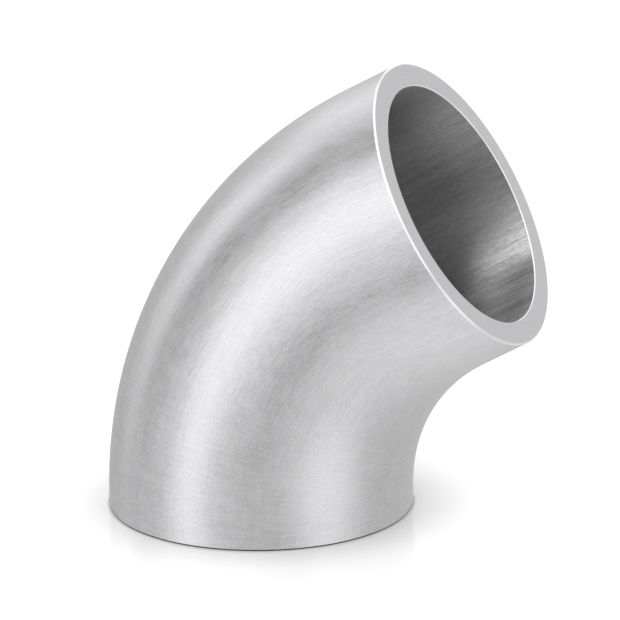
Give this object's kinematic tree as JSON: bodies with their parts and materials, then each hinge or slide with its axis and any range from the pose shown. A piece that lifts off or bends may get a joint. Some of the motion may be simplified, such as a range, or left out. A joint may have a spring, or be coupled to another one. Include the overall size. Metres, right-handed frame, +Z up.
{
  "type": "pipe bend",
  "caption": "Short elbow of round aluminium pipe that turns a pipe run through an angle, with plain square-cut ends for welding.",
  "frame": {"origin": "centre of the lower end face, on the pipe's centre line", "axes": "+Z up along the straight lower leg, +X the way the pipe bends, so the upper end leaves along (0.866, 0, 0.5); the pipe is symmetric about the plane Y = 0"},
  "size_m": [0.0552, 0.0382, 0.0579],
  "materials": {
    "aluminium": "finely brushed, satin"
  },
  "bodies": {
    "root": {"pipe_bend": "aluminium"}
  },
  "joints": []
}
